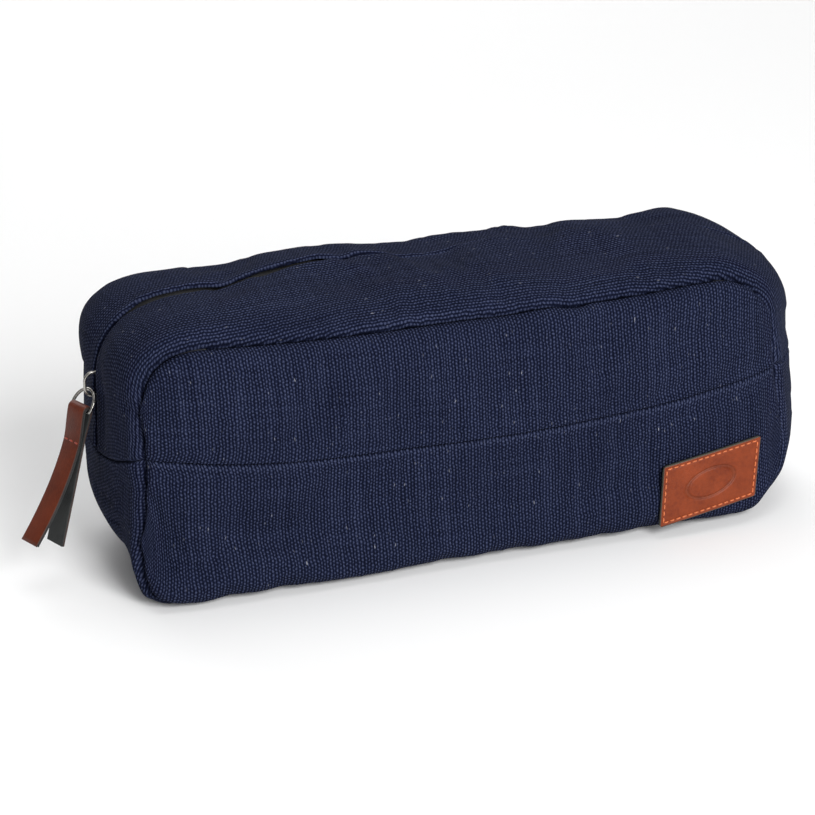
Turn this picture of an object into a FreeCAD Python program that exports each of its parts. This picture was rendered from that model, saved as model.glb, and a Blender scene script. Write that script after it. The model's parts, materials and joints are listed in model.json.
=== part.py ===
import FreeCAD, Part
import math
import os

# Shaving kit bag: a zipped canvas box pouch with bulging ends, a folded leather zip pull on a D-ring
# and a sewn leather label.  Millimetres.  X runs along the bag, the zip pull hangs at the -X end,
# -Y is the labelled front, +Z is up.  The origin is the centre of the flat underside.

V = FreeCAD.Vector

# Box of the sewn seams, and how far the stuffed fabric stands out between them
LENGTH = 260.0
DEPTH = 75.0
HEIGHT = 100.0
CORNER_R = 25.0
END_BULGE = 8.0
PANEL_CROWN = 8.0
CROWN_POWER = 3
WAIST_Z = 55.0            # height of the seam between the lower and the upper half
PART_GAP = 0.15           # half of the clearance along the waist
SEAM_GAP = 0.2            # clearance between neighbouring cut pieces of one half

# Cloth
CANVAS = 1.0
LINING = 0.4
LINING_DROP = 0.1         # clearance between the canvas and its lining
LINING_INSET = 5.0        # the panel linings end inside the binding
BINDING_DROP = 2.4        # how far under the seam line the bound seam allowance lies
BINDING = 1.6
BINDING_WIDTH = 7.0
BINDING_CLEAR = 1.6       # clearance between the panel's outer face and the binding

# Zip
ZIP_GAP = 6.0             # free width between the two canvas strips
ZIP_DEPTH = 4.3           # the zip's middle surface under the canvas surface
TAPE = 0.6
TAPE_INNER = 2.0
TAPE_OUTER = 14.0
COIL = 1.4
COIL_INNER = 0.75         # the rows lie apart by the width of the slider's post
SLIDER_L = 11.0
SLIDER_W = 8.4
SLIDER_TOP = 1.9          # depth of the top plate's face under the canvas surface
SLIDER_PLATE = 1.1
SLIDER_CAVITY = 2.9
SLIDER_ROUND = 2.0
FLANGE_L = 6.0
FLANGE_W = 0.7
TAPE_SLOT = 2.2
POST_W = 1.1
POST_L = 2.6
BITE = 0.2                # how far joined blocks of one piece run into each other
STOP_L = 3.0
STOP_W = 2.0
STOP_T = 2.2
STOP_ROUND = 0.4
STOP_ROOM = 0.1           # clearance between a stop and the tape it grips
STOP_SLOT = 2.0           # how far a stop's tape slot is cut on past its ends
STOP_GRIP = 0.8           # how far a top stop reaches past its tape's edge
TOP_STOP_CLEAR = 0.6      # between the slider's nose and the top stops
LOW_STOP_DROP = 0.4       # of the bottom stop under the waist
COIL_CLEAR = 0.06         # radians between the slider's tail and the closed coil

# Pull: bail on the slider, D-ring, folded strap
WIRE_R = 0.62
BAIL_H = 5.3
BAIL_FOOT = 4.6
BAIL_BEND = 3.3
BAIL_SINK = 0.4           # how far the bail's feet are pressed into the slider
RING_R = 6.0
RING_SIDE = 2.3
RING_BEND = 0.9
RING_PLAY = 0.6
PULL_YAW = 21.0           # turn of the pull's width out of the bag's depth
RING_TILT = 35.0
STRAP_TILT = 14.0
STRAP_W = 9.9
STRAP_L = 53.0
FOLD_R = 0.95
STRAP_BACKING = 0.6
STRAP_LEATHER = 0.8
STITCH_DROP = 12.5
LEG_GAP = 0.3
FRONT_LEG_OUT = 10.5
LEG_SPREAD = 0.33         # share of the splay that a leg has reached halfway down
STITCH_STAND = 0.35       # how far the strap's thread stands on the leather
STRAP_STITCHES = 3
THREAD_R = 0.3

# Label
LABEL_W = 43.0
LABEL_H = 24.0
LABEL_T = 1.4
LABEL_X = 100.0
LABEL_Z = 18.0
LABEL_R = 1.5
LABEL_LIFT = 0.1
THREAD_LIFT = 0.1
STITCH_PITCH = 3.0
STITCH_L = 2.0
STITCH_INSET = 2.2

# Spacing of the points that shape the cloth, and the overrun of shapes that are trimmed
SPLINE_DEGREE = 3
CORNER_STEP = math.pi / 16
END_STEP = 10.0
TOP_STEP = 15.0
ACROSS_STEP = 12.0
PANEL_STEP_X = 13.0
PANEL_STEP_Z = 8.0
OVERRUN = 1.0
ALIGNED = 0.99            # an edge's direction counts as along an axis above this component

HALF_L = LENGTH / 2
HALF_D = DEPTH / 2
ARC_X = HALF_L - CORNER_R
ARC_Z = HEIGHT - CORNER_R
SLIDER_X = -(HALF_L + END_BULGE - SLIDER_TOP)     # face of the slider's top plate


# ---------------------------------------------------------------- fabric from smooth surfaces

def clamped(count, degree):
    """Knots and multiplicities of a clamped uniform spline."""
    spans = count - degree
    return [float(i) for i in range(spans + 1)], [degree + 1] + [1] * (spans - 1) + [degree + 1]


def spline_face(rows):
    """A smooth face controlled by a grid of points, or straight across where the grid has two."""
    across = min(SPLINE_DEGREE, len(rows) - 1)
    along = min(SPLINE_DEGREE, len(rows[0]) - 1)
    u_knots, u_mults = clamped(len(rows), across)
    v_knots, v_mults = clamped(len(rows[0]), along)
    surface = Part.BSplineSurface()
    surface.buildFromPolesMultsKnots(rows, u_mults, v_mults, u_knots, v_knots, False, False, across, along)
    return surface.toShape()


def slab(outer, inner):
    """The closed solid between two grids of points of the same size."""
    faces = [
        spline_face(outer),
        spline_face(inner),
        spline_face([outer[0], inner[0]]),
        spline_face([outer[-1], inner[-1]]),
        spline_face([[row[0] for row in outer], [row[0] for row in inner]]),
        spline_face([[row[-1] for row in outer], [row[-1] for row in inner]]),
    ]
    shell = Part.Shell(faces)
    shell.sewShape()
    solid = Part.Solid(shell)
    if solid.Volume < 0:
        solid.reverse()
    return solid


def steps(first, last, longest):
    """Evenly spaced values from first to last, no further apart than longest."""
    count = max(1, math.ceil(abs(last - first) / longest))
    return [first + (last - first) * i / count for i in range(count + 1)]


def smooth(t):
    t = min(1.0, max(0.0, t))
    return t * t * (3 - 2 * t)


def end_run(side, low, high):
    """Stations up one end: a point on the seam outline, its outward direction and the bulge there."""
    return [(side * HALF_L, z, side, 0.0, END_BULGE) for z in steps(low, high, END_STEP)]


def top_corner(side):
    """Stations round a top corner, from the end to the top."""
    made = []
    for a in steps(0.0, math.pi / 2, CORNER_STEP):
        out_x = side * math.cos(a)
        out_z = math.sin(a)
        made.append((side * ARC_X + CORNER_R * out_x, ARC_Z + CORNER_R * out_z, out_x, out_z, END_BULGE))
    return made


def low_corner(side):
    """Stations round a bottom corner, from the end to the underside, the bulge dying away."""
    made = []
    for a in steps(0.0, math.pi / 2, CORNER_STEP):
        out_x = side * math.cos(a)
        out_z = -math.sin(a)
        bulge = END_BULGE * (1 - smooth(a / (math.pi / 2)))
        made.append((side * ARC_X + CORNER_R * out_x, CORNER_R + CORNER_R * out_z, out_x, out_z, bulge))
    return made


def upper_run():
    """Stations from the left waist over the top to the right waist."""
    low = WAIST_Z + PART_GAP
    left = end_run(-1, low, ARC_Z) + top_corner(-1)[1:]
    right = end_run(1, low, ARC_Z) + top_corner(1)[1:]
    top = [(x, HEIGHT, 0.0, 1.0, END_BULGE) for x in steps(-ARC_X, ARC_X, TOP_STEP)]
    return left + top[1:-1] + right[::-1]


def lower_run(side):
    """Stations from the waist down one end and round its bottom corner."""
    return end_run(side, WAIST_Z - PART_GAP, CORNER_R) + low_corner(side)[1:]


def band_grid(run, y_first, y_last, drop):
    """Points of a band that follows the stations, bulged across its width, drop under its surface."""
    rows = []
    for y in steps(y_first, y_last, ACROSS_STEP):
        swell = 1 - (y / HALF_D) ** 2
        row = []
        for x, z, out_x, out_z, bulge in run:
            lift = bulge * swell - drop
            row.append(V(x + out_x * lift, y, z + out_z * lift))
        rows.append(row)
    return rows


def band(run, y_first, y_last, drop, thick):
    return slab(band_grid(run, y_first, y_last, drop), band_grid(run, y_first, y_last, drop + thick))


def crown(x, z):
    """How far a stuffed panel stands out of the plane of its seams."""
    u = min(1.0, abs(x) / HALF_L)
    w = min(1.0, abs(2 * z / HEIGHT - 1))
    return PANEL_CROWN * (1 - u ** CROWN_POWER) * (1 - w ** CROWN_POWER)


def panel_grid(side, drop, x_range, z_range):
    rows = []
    for z in steps(*z_range, PANEL_STEP_Z):
        rows.append([V(x, side * (HALF_D + crown(x, z) - drop), z) for x in steps(*x_range, PANEL_STEP_X)])
    return rows


def outline(inset):
    """The prism of the rounded seam outline, inset all round."""
    made = Part.makeBox(
        LENGTH - 2 * inset, 2 * DEPTH, HEIGHT - 2 * inset, V(-HALF_L + inset, -DEPTH, inset)
    )
    corners = [e for e in made.Edges if abs(e.tangentAt(e.FirstParameter).y) > ALIGNED]
    return made.makeFillet(CORNER_R - inset, corners)


def half_space(upper):
    """A block that holds everything above, or everything below, the waist clearance."""
    low = WAIST_Z + PART_GAP if upper else -HEIGHT
    high = 2 * HEIGHT if upper else WAIST_Z - PART_GAP
    return Part.makeBox(2 * LENGTH, 4 * DEPTH, high - low, V(-LENGTH, -2 * DEPTH, low))


def panel(side, upper, drop, thick, inset):
    """Half of a front or back panel, or of its lining."""
    x_range = (-HALF_L - OVERRUN, HALF_L + OVERRUN)
    z_range = (-OVERRUN, HEIGHT + OVERRUN)
    sheet = slab(panel_grid(side, drop, x_range, z_range), panel_grid(side, drop + thick, x_range, z_range))
    return sheet.common(outline(inset)).common(half_space(upper))


def binding(side, upper):
    """The tape that covers the raw seam allowance, a flat hoop inside the seam."""
    hoop = outline(BINDING_DROP).cut(outline(BINDING_DROP + BINDING))
    far = HALF_D - BINDING_CLEAR
    y = far - BINDING_WIDTH if side > 0 else -far
    slice_y = Part.makeBox(2 * LENGTH, BINDING_WIDTH, 2 * HEIGHT, V(-LENGTH, y, -HEIGHT / 2))
    return hoop.common(slice_y).common(half_space(upper))


def strip(side):
    """One canvas strip of the zip gusset, from the seam to the zip's gap."""
    edge = HALF_D - CANVAS - SEAM_GAP
    return band(upper_run(), side * edge, side * ZIP_GAP / 2, 0.0, CANVAS)


def lower_band(drop, thick):
    """One strip down both ends and under the bag, flat where the bag stands on it."""
    edge = HALF_D - CANVAS - SEAM_GAP
    under = Part.makeBox(2 * ARC_X, 2 * edge, thick, V(-ARC_X, -edge, drop))
    left = band(lower_run(-1), -edge, edge, drop, thick)
    right = band(lower_run(1), -edge, edge, drop, thick)
    return left.fuse(under).fuse(right)


# ---------------------------------------------------------------- zip

def zip_tape(side):
    return band(upper_run(), side * TAPE_OUTER, side * TAPE_INNER, ZIP_DEPTH - TAPE / 2, TAPE)


def coil_run():
    """Stations of the closed coil: from the slider's tail over the top to the right waist."""
    first = SLIDER_L / 2 / (CORNER_R + END_BULGE - ZIP_DEPTH) + COIL_CLEAR
    corner = []
    for a in steps(first, math.pi / 2, CORNER_STEP):
        out_x = -math.cos(a)
        out_z = math.sin(a)
        corner.append((-ARC_X + CORNER_R * out_x, ARC_Z + CORNER_R * out_z, out_x, out_z, END_BULGE))
    top = [(x, HEIGHT, 0.0, 1.0, END_BULGE) for x in steps(-ARC_X, ARC_X, TOP_STEP)]
    right = end_run(1, WAIST_Z + PART_GAP, ARC_Z) + top_corner(1)[1:]
    return corner + top[1:-1] + right[::-1]


def coil(side):
    """One row of the nylon coil, along its tape's inner edge."""
    near = side * COIL_INNER
    far = side * (TAPE_INNER - SEAM_GAP / 2)
    return band(coil_run(), far, near, ZIP_DEPTH - COIL / 2, COIL)


def end_block(side, y, z, length):
    """A small metal stop crimped on the zip at one end of the bag."""
    x = side * (HALF_L + END_BULGE - ZIP_DEPTH)
    block = Part.makeBox(STOP_T, STOP_W, length, V(x - STOP_T / 2, y - STOP_W / 2, z))
    return block.makeFillet(STOP_ROUND, block.Edges)


def top_stop(side):
    """The stop beside the slider's nose, astride the edge of one tape."""
    z = ARC_Z - SLIDER_L / 2 - STOP_L - TOP_STOP_CLEAR
    run = end_run(-1, z - STOP_SLOT, z + STOP_L + STOP_SLOT)
    edge = side * (TAPE_INNER - STOP_ROOM)
    slot = band(run, side * TAPE_OUTER, edge, ZIP_DEPTH - TAPE / 2 - STOP_ROOM, TAPE + 2 * STOP_ROOM)
    return end_block(-1, side * (TAPE_INNER + STOP_W / 2 - STOP_GRIP), z, STOP_L).cut(slot)


def bottom_stop():
    """The stop that holds both rows together at the far end, sewn on under the waist seam."""
    z = WAIST_Z - PART_GAP - STOP_L - LOW_STOP_DROP
    return end_block(1, 0.0, z, STOP_L)


def on_slider(depth, width, low, high, y=0.0):
    """A block of the slider: depth range over (+) or under (-) its top face, width, length range."""
    near, far = depth
    centre = ARC_Z
    return Part.makeBox(far - near, width, high - low, V(SLIDER_X - far, y - width / 2, centre + low))


def slider_body():
    """Two plates joined by a post at the nose, with flanges that leave a slot for each tape."""
    half = SLIDER_L / 2
    under = -SLIDER_PLATE - SLIDER_CAVITY
    top = on_slider((-SLIDER_PLATE, 0.0), SLIDER_W, -half, half)
    low = on_slider((under - SLIDER_PLATE, under), SLIDER_W, -half, half)
    post = on_slider((under - BITE, -SLIDER_PLATE + BITE), POST_W, -half, -half + POST_L)
    corners = [e for e in top.Edges if abs(e.tangentAt(e.FirstParameter).x) > ALIGNED]
    made = top.makeFillet(SLIDER_ROUND, corners)
    corners = [e for e in low.Edges if abs(e.tangentAt(e.FirstParameter).x) > ALIGNED]
    made = made.fuse(low.makeFillet(SLIDER_ROUND, corners)).fuse(post)
    tape_at = -(ZIP_DEPTH - SLIDER_TOP)
    over_tape = (tape_at + TAPE_SLOT / 2, -SLIDER_PLATE + BITE)
    under_tape = (under - BITE, tape_at - TAPE_SLOT / 2)
    for side in (-1, 1):
        y = side * (SLIDER_W - FLANGE_W) / 2
        for depths in (over_tape, under_tape):
            made = made.fuse(on_slider(depths, FLANGE_W, -FLANGE_L / 2, FLANGE_L / 2, y))
    return made.removeSplitter()


def wire_sweep(points, bend):
    """A round wire along straight runs whose corners are bent to one radius."""
    edges = []
    last = points[0]
    for behind, here, ahead in zip(points, points[1:], points[2:]):
        before = (behind - here).normalize()
        after = (ahead - here).normalize()
        half = before.getAngle(after) / 2
        reach = bend / math.tan(half)
        start = here + before * reach
        end = here + after * reach
        middle = here + (before + after).normalize() * (bend / math.sin(half) - bend)
        edges.append(Part.LineSegment(last, start).toShape())
        edges.append(Part.Arc(start, middle, end).toShape())
        last = end
    edges.append(Part.LineSegment(last, points[-1]).toShape())
    profile = Part.Wire(Part.makeCircle(WIRE_R, points[0], points[1] - points[0]))
    return Part.Wire(edges).makePipeShell([profile], True, False)


def slider_bail():
    """The wire bridge over the slider's top plate."""
    points = []
    for height, foot in ((-BAIL_SINK, -1), (BAIL_H, -1), (BAIL_H, 1), (-BAIL_SINK, 1)):
        points.append(V(SLIDER_X - height, 0.0, ARC_Z + foot * BAIL_FOOT))
    return wire_sweep(points, BAIL_BEND)


# ---------------------------------------------------------------- pull

BEND_SHIFT = BAIL_BEND * (1 - math.sqrt(0.5))       # from the bail's square corner to the middle of its bend
HANG = V(SLIDER_X - BAIL_H + BEND_SHIFT, 0.0, ARC_Z - BAIL_FOOT + BEND_SHIFT)
RING_APEX = RING_SIDE + RING_R
RING_REACH = RING_APEX - 2 * WIRE_R - RING_PLAY     # from the ring's hinge line to its straight bar
WIDTH_WAY = V(math.sin(math.radians(PULL_YAW)), -math.cos(math.radians(PULL_YAW)), 0.0)
OUT_WAY = V(-math.cos(math.radians(PULL_YAW)), -math.sin(math.radians(PULL_YAW)), 0.0)


def tilted(angle):
    """The hanging direction at an angle out from straight down."""
    a = math.radians(angle)
    return OUT_WAY * math.sin(a) - V(0, 0, math.cos(a))


BAR = HANG + tilted(RING_TILT) * RING_REACH


def pull_ring():
    """A D-ring: a straight bar in the strap's fold and a round arch over the bail's foot."""
    up = tilted(RING_TILT) * -1
    low_left = BAR - WIDTH_WAY * RING_R
    low_right = BAR + WIDTH_WAY * RING_R
    shoulder = up * RING_SIDE
    bend = RING_BEND
    corner = bend * (1 - math.sqrt(0.5))
    edges = [
        Part.LineSegment(low_left + WIDTH_WAY * bend, low_right - WIDTH_WAY * bend).toShape(),
        Part.Arc(low_right - WIDTH_WAY * bend, low_right + (up - WIDTH_WAY) * corner,
                 low_right + up * bend).toShape(),
        Part.LineSegment(low_right + up * bend, low_right + shoulder).toShape(),
        Part.Arc(low_right + shoulder, BAR + up * RING_APEX, low_left + shoulder).toShape(),
        Part.LineSegment(low_left + shoulder, low_left + up * bend).toShape(),
        Part.Arc(low_left + up * bend, low_left + (up + WIDTH_WAY) * corner,
                 low_left + WIDTH_WAY * bend).toShape(),
    ]
    start = low_left + WIDTH_WAY * bend
    profile = Part.Wire(Part.makeCircle(WIRE_R, start, WIDTH_WAY))
    return Part.Wire(edges).makePipeShell([profile], True, False)


def leg_curve(half, out, thick, sign):
    """One face of one leg, from the fold down to the cut end, as a smooth curve in the fold's plane."""
    low = LEG_GAP / 2 + thick
    points = [
        V(sign * half, 0, 0),
        V(sign * (half + low) / 2, 0, -STITCH_DROP / 2),
        V(sign * low, 0, -STITCH_DROP),
        V(sign * low + out * LEG_SPREAD, 0, -STITCH_DROP - (STRAP_L - STITCH_DROP) / 2),
        V(sign * low + out, 0, -STRAP_L),
    ]
    curve = Part.BSplineCurve()
    curve.interpolate(points)
    return curve.toShape(), points[0], points[-1]


def folded_strip(inner, thick):
    """A strip folded over the ring's bar: inner is its face's distance from the bar's centre line."""
    outer = inner + thick
    start = inner - FOLD_R
    near = [leg_curve(inner, FRONT_LEG_OUT, start, 1), leg_curve(inner, 0.0, start, -1)]
    far = [leg_curve(outer, FRONT_LEG_OUT, start + thick, 1), leg_curve(outer, 0.0, start + thick, -1)]
    edges = [
        near[0][0],
        Part.LineSegment(near[0][2], far[0][2]).toShape(),
        far[0][0],
        Part.Arc(far[0][1], V(0, 0, outer), far[1][1]).toShape(),
        far[1][0],
        Part.LineSegment(far[1][2], near[1][2]).toShape(),
        near[1][0],
        Part.Arc(near[1][1], V(0, 0, inner), near[0][1]).toShape(),
    ]
    face = Part.Face(Part.Wire(Part.__sortEdges__(edges)))
    solid = face.extrude(V(0, STRAP_W, 0))
    solid.translate(V(0, -STRAP_W / 2, 0))
    return solid


def hung(shape):
    """Move a piece from the fold's own frame, X outwards and Y along the bar, to its place."""
    down = tilted(STRAP_TILT)
    out = WIDTH_WAY.cross(down)
    if out.dot(OUT_WAY) < 0:
        out = out * -1
    up = down * -1
    across = up.cross(out)
    frame = FreeCAD.Matrix(
        out.x, across.x, up.x, BAR.x,
        out.y, across.y, up.y, BAR.y,
        out.z, across.z, up.z, BAR.z,
        0, 0, 0, 1,
    )
    return shape.transformGeometry(frame)


def pull_strap():
    return hung(folded_strip(FOLD_R + STRAP_BACKING, STRAP_LEATHER))


def pull_backing():
    return hung(folded_strip(FOLD_R, STRAP_BACKING))


def pull_stitch():
    """Short thread runs on the strap's front, across it below the fold."""
    face = LEG_GAP / 2 + STRAP_BACKING + STRAP_LEATHER
    pitch = STRAP_W / STRAP_STITCHES
    made = []
    for i in range(STRAP_STITCHES):
        y = (i + 0.5) * pitch - STRAP_W / 2 - STITCH_L / 2
        thread = Part.makeCylinder(THREAD_R, STITCH_L, V(face + STITCH_STAND, y, -STITCH_DROP), V(0, 1, 0))
        made.append(hung(thread))
    return Part.makeCompound(made)


# ---------------------------------------------------------------- label

def label_block(width, height, radius):
    low = V(LABEL_X - width / 2, -2 * DEPTH, LABEL_Z - height / 2)
    block = Part.makeBox(width, 2 * DEPTH, height, low)
    corners = [e for e in block.Edges if abs(e.tangentAt(e.FirstParameter).y) > ALIGNED]
    return block.makeFillet(radius, corners)


def label():
    """The leather label, following the crown of the front panel."""
    x_range = (LABEL_X - LABEL_W, HALF_L - OVERRUN)
    z_range = (OVERRUN, LABEL_Z + LABEL_H)
    near = panel_grid(-1, -LABEL_LIFT, x_range, z_range)
    far = panel_grid(-1, -LABEL_LIFT - LABEL_T, x_range, z_range)
    return slab(far, near).common(label_block(LABEL_W, LABEL_H, LABEL_R))


def label_stitching():
    """Thread runs just inside the label's edge."""
    half_w = LABEL_W / 2 - STITCH_INSET
    half_h = LABEL_H / 2 - STITCH_INSET
    made = []
    for x in steps(-half_w + STITCH_L, half_w - STITCH_L, STITCH_PITCH):
        for side in (-1, 1):
            made.append(label_thread(x, side * half_h, V(1, 0, 0)))
    for z in steps(-half_h + STITCH_L, half_h - STITCH_L, STITCH_PITCH):
        for side in (-1, 1):
            made.append(label_thread(side * half_w, z, V(0, 0, 1)))
    return Part.makeCompound(made)


def label_thread(x, z, way):
    at = V(LABEL_X + x, 0, LABEL_Z + z)
    stand = HALF_D + crown(at.x, at.z) + LABEL_LIFT + LABEL_T + THREAD_R + THREAD_LIFT
    return Part.makeCylinder(THREAD_R, STITCH_L, V(at.x, -stand, at.z) - way * (STITCH_L / 2), way)


# ---------------------------------------------------------------- all pieces

def pieces():
    lining_drop = CANVAS + LINING_DROP
    made = {}
    for side, name in ((-1, "front"), (1, "back")):
        for upper, level in ((True, "upper"), (False, "lower")):
            made[f"{name}_panel_{level}"] = panel(side, upper, 0.0, CANVAS, 0.0)
            made[f"{name}_lining_{level}"] = panel(side, upper, lining_drop, LINING, LINING_INSET)
            made[f"{name}_seam_binding_{level}"] = binding(side, upper)
        made[f"zip_gusset_{name}"] = strip(side)
        made[f"zip_tape_{name}"] = zip_tape(side)
        made[f"zip_coil_{name}"] = coil(side)
        made[f"zip_top_stop_{name}"] = top_stop(side)
    made["bottom_gusset"] = lower_band(0.0, CANVAS)
    made["bottom_gusset_lining"] = lower_band(lining_drop, LINING)
    made["zip_bottom_stop"] = bottom_stop()
    made["zip_slider_body"] = slider_body()
    made["zip_slider_bail"] = slider_bail()
    made["pull_ring"] = pull_ring()
    made["pull_strap_leather"] = pull_strap()
    made["pull_strap_backing"] = pull_backing()
    made["pull_strap_stitching"] = pull_stitch()
    made["label"] = label()
    made["label_stitching"] = label_stitching()
    return made


os.makedirs("parts", exist_ok=True)
for name, shape in pieces().items():
    shape.exportStep(f"parts/{name}.step")
    box = shape.BoundBox
    print(f"{name:28s} {shape.Volume:9.1f} mm3 valid {shape.isValid()} solids {len(shape.Solids)} "
          f"x {box.XMin:.1f} {box.XMax:.1f} y {box.YMin:.1f} {box.YMax:.1f} z {box.ZMin:.1f} {box.ZMax:.1f}")
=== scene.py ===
import json
import math
import bmesh
import bpy
import numpy as np
from mathutils import Matrix, Vector, noise
from mathutils.bvhtree import BVHTree


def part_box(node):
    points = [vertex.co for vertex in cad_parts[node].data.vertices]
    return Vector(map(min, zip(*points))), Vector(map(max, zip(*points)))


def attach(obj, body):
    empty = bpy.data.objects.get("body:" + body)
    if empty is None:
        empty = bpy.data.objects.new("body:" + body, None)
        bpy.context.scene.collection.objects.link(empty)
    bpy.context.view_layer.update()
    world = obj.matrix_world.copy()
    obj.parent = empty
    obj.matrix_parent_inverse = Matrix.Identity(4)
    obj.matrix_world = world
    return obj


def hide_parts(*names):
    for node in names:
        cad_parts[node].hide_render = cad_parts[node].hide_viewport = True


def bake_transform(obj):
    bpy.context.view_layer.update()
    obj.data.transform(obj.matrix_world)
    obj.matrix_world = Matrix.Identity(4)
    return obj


# Shaving kit bag: a stuffed canvas pouch.  Lengths are in metres.  The cloth pieces are grids of points
# on one shell, which a cloth simulation fills out, and each piece is then cut from it, rolled in at its
# seams, given its thickness and UVs in metres of cloth.

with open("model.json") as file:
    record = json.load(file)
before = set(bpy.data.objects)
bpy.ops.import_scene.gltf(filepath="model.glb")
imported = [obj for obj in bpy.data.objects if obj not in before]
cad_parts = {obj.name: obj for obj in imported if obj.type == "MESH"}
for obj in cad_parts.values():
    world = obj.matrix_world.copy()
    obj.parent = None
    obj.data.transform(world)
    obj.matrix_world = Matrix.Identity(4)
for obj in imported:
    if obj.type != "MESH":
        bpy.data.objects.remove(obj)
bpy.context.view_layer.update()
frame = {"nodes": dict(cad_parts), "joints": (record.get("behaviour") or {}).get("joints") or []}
joints = {j["name"]: j for j in frame["joints"]}

MM = 0.001
panel_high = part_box("front_panel_lower")[1]
HALF_L = panel_high.x  # half the length between the end seams
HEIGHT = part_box("front_panel_upper")[1].z
HALF_D = 37.5 * MM  # half the depth between the front and back seams
WAIST = round(panel_high.z, 3)  # height of the seam between the lower and upper half
CORNER = 25 * MM  # radius of the panels' outline at its corners
END_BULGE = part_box("bottom_gusset")[1].x - HALF_L
ARC_X = HALF_L - CORNER  # the corner arcs' centres
ARC_Z = HEIGHT - CORNER

# Cloth grid
CORNER_COLS = 8
FLAT_COLS = 42
UPPER_ROWS = 9
LOWER_ROWS = 11
ACROSS = 16
ZIP_COL = ACROSS // 2
CELL = 2 * HALF_D / ACROSS
PANEL_CELL = 5 * MM
QUARTER = np.linspace(0, math.pi / 2, CORNER_COLS + 1)

# Cloth
CANVAS = 1.0 * MM  # thickness
SEAM_ROLL = 2.7 * MM  # radii of the turned-in edges
WAIST_ROLL = 1.3 * MM
HEM_ROLL = 1.5 * MM
WELT = 0.7 * MM  # rise of the seam allowance felt beside a seam
WARP_PITCH = 1.28 * MM
WEFT_PITCH = 0.72 * MM
INSET = 8  # fine rows and columns that a lining stops short of a seam
LINING_DEPTH = CANVAS + 0.9 * MM
LINING_THICK = 0.35 * MM

# Zip
GAP = 2.0  # mm between the hems
SLIDER_GAP = 4.4  # mm more where the slider passes
TAPE_DEPTH = 4.0 * MM
COIL_DEPTH = 4.3
COIL_PITCH = 1.5 * MM
COIL_STEPS = 8
ZIP_END = 8 * MM  # the coil stops this far short of the waist at each end


# ---- small maths

def smooth(t):
    t = np.clip(t, 0.0, 1.0)
    return t * t * (3 - 2 * t)


def hump(*terms):
    """A smooth hump of height 1.  Each term is a value, the hump's centre in it, and its width."""
    return np.exp(sum(-((value - centre) / width) ** 2 for value, centre, width in terms))


def unit(v):
    v = np.asarray(v, float)
    return v / np.linalg.norm(v, axis=-1, keepdims=True)


def sample(grid, axis, at):
    """Points of a grid at fractional places along one axis, on a smooth curve through its rows."""
    g = np.moveaxis(grid, axis, 0)
    last = len(g) - 1
    at = np.clip(np.asarray(at, float), 0, last)
    i = np.minimum(at.astype(int), last - 1)
    t = (at - i).reshape((-1,) + (1,) * (g.ndim - 1))
    before = g[np.maximum(i - 1, 0)]
    first = g[i]
    second = g[i + 1]
    after = g[np.minimum(i + 2, last)]
    before = np.where((i == 0).reshape(t.shape), 2 * first - second, before)
    after = np.where((i + 2 > last).reshape(t.shape), 2 * second - first, after)
    made = first + 0.5 * t * (
        second - before
        + t * (2 * before - 5 * first + 4 * second - after + t * (3 * (first - second) + after - before)))
    return np.moveaxis(made, 0, axis)


def normals(grid):
    along = np.gradient(grid, axis=1)
    across = np.gradient(grid, axis=0)
    n = np.cross(along, across)
    return n / np.maximum(np.linalg.norm(n, axis=-1, keepdims=True), 1e-12)


def lengths(grid, axis):
    """Distance walked along one axis of a grid from its first row."""
    d = np.linalg.norm(np.diff(grid, axis=axis), axis=-1)
    zero = np.zeros_like(np.take(d, [0], axis=axis))
    return np.concatenate([zero, np.cumsum(d, axis=axis)], axis=axis)


def outward(grid):
    """True if the grid's normals point out of the bag."""
    n = normals(grid)
    middle = np.array([0, 0, HEIGHT / 2])
    return float(((grid - middle) * n).sum()) > 0


def wave(points, size, seed):
    """Smooth noise from -1 to 1 at each point of a grid."""
    flat = points.reshape(-1, points.shape[-1])
    made = [noise.noise(Vector((p[0] / size + seed, p[1] / size - seed, (p[2] if len(p) > 2 else 0) / size)))
            for p in flat]
    return np.array(made).reshape(points.shape[:-1])


# ---- the shell's form

def column_places():
    """Pattern x of each panel column, and the outline's height over or under the corner centres there."""
    left_x = -ARC_X - CORNER * np.cos(QUARTER)
    left_rise = CORNER * np.sin(QUARTER)
    flat_x = np.linspace(-ARC_X, ARC_X, FLAT_COLS + 1)[1:-1]
    x = np.concatenate([left_x, flat_x, -left_x[::-1]])
    rise = np.concatenate([left_rise, np.full(len(flat_x), CORNER), left_rise[::-1]])
    return x, rise


COL_X, COL_RISE = column_places()
COLS = len(COL_X)


def panel_crown(x, z, side):
    """How far a stuffed panel stands out of its seams' plane: fuller low down, where the weight sits."""
    u = np.abs(x) / HALF_L
    level = 2 * z / HEIGHT - 1
    low = smooth(0.5 - level)
    w = np.where(level > 0, np.abs(level) ** 3.2, np.abs(level) ** 5.5)
    ends = np.clip(1 - u ** (4 + 3 * low), 0, 1)
    full = (8.6 + 1.0 * low) * MM if side < 0 else 7.0 * MM
    return full * np.sqrt(ends) * np.sqrt(np.clip(1 - w, 0, 1))


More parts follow.
